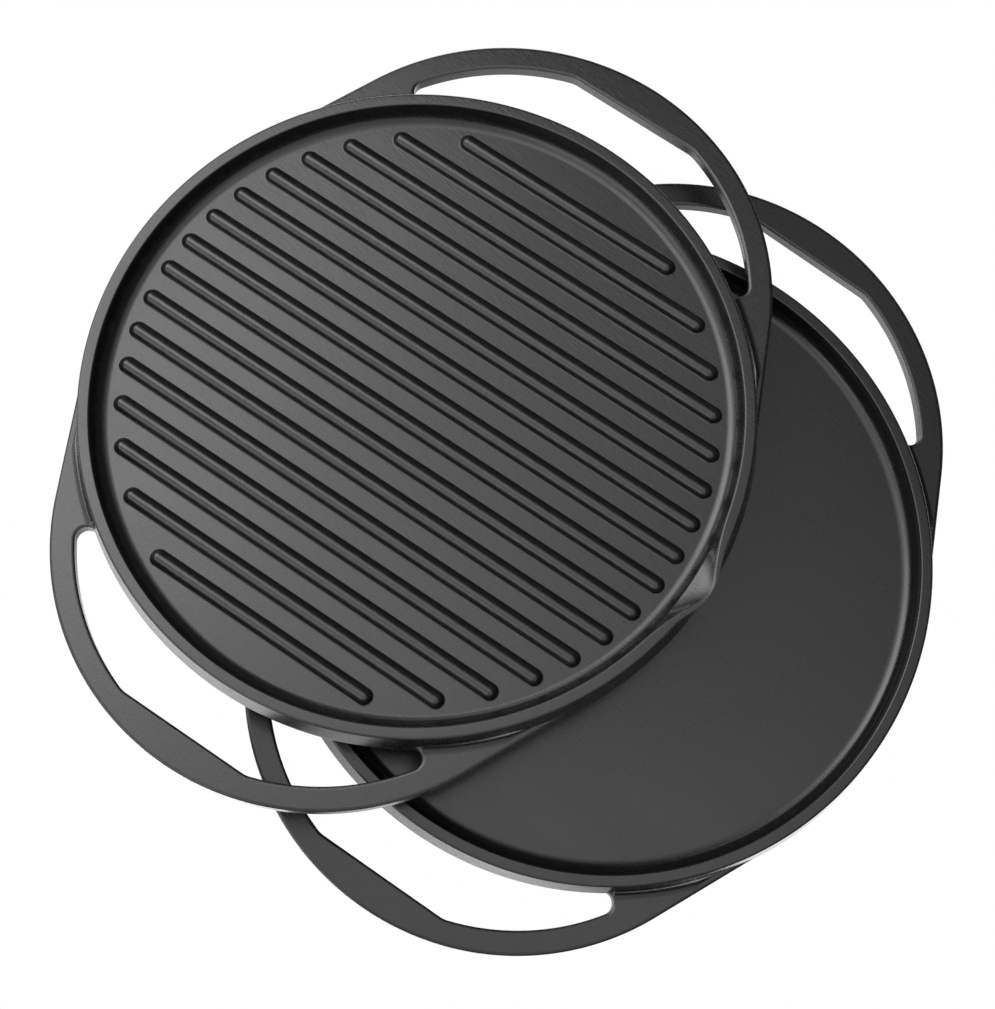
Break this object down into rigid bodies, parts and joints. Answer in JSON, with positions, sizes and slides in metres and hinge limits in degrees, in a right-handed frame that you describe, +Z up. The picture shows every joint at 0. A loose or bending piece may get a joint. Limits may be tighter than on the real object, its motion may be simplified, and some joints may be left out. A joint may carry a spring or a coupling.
{
  "type": "reversible griddle pair",
  "caption": "Round cast iron griddles, each one casting with a ribbed face, a flat face, a pouring lip and two loop handles; one lies flat, the other leans on it.",
  "frame": {"origin": "on the resting surface, under the middle of the box round both griddles", "axes": "+Z up, +X along the ribs from the leaning griddle towards the lying one, Y through the loop handles, with the viewer of the picture on the -Y side"},
  "size_m": [0.3802, 0.3574, 0.0608],
  "materials": {
    "cast_iron": "seasoned, satin black, with fine casting grain"
  },
  "bodies": {
    "lying_griddle": {"flat_side_up_griddle": "cast_iron"},
    "leaning_griddle": {"ribbed_side_up_griddle": "cast_iron"}
  },
  "joints": [
    {"name": "lift_off", "type": "slide", "parent": "lying_griddle", "child": "leaning_griddle", "axis": [0, 0, 1], "range_m": [0, 0.15]}
  ]
}
